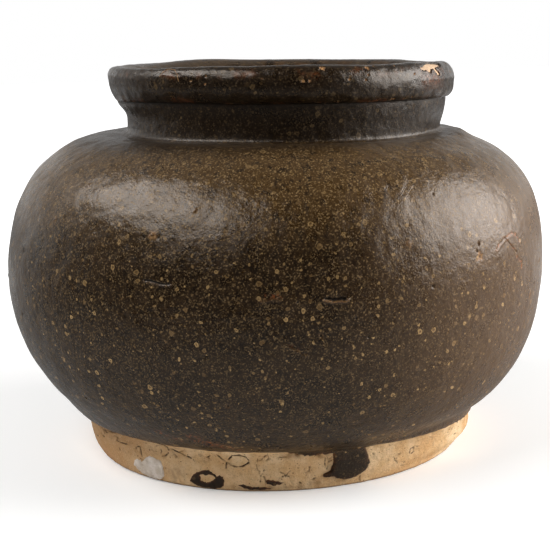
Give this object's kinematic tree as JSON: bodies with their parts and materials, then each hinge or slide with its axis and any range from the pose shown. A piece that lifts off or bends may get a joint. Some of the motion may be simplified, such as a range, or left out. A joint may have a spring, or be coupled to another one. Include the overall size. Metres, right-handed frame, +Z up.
{
  "type": "onggi jar",
  "caption": "Squat wide-bellied stoneware jar with a short neck, rolled rim, dark brown glaze coat and bare clay foot, open at the top",
  "frame": {"origin": "centre of the foot's underside, on the table", "axes": "+Z up along the jar's axis, -Y towards the front, +X to the viewer's right"},
  "size_m": [0.28, 0.28, 0.198],
  "materials": {
    "bare_clay": "unglazed buff stoneware, matt, with pits and hairline cracks",
    "brown_glaze": "semi-gloss dark brown ash glaze with tan specks",
    "lining_glaze": "thin brown glaze lining, satin",
    "thick_glaze": "thick, nearly black glaze, semi-gloss",
    "kiln_wash": "chalky off-white residue, matt"
  },
  "bodies": {
    "root": {"floor_slab": "bare_clay", "foot_ring": "bare_clay", "lower_wall": "bare_clay", "upper_wall": "bare_clay", "neck_collar": "bare_clay", "rim_roll": "bare_clay", "outer_glaze": "brown_glaze", "inner_glaze": "lining_glaze", "glaze_run": "thick_glaze", "glaze_spots": "thick_glaze", "kiln_patch": "kiln_wash"}
  },
  "joints": []
}
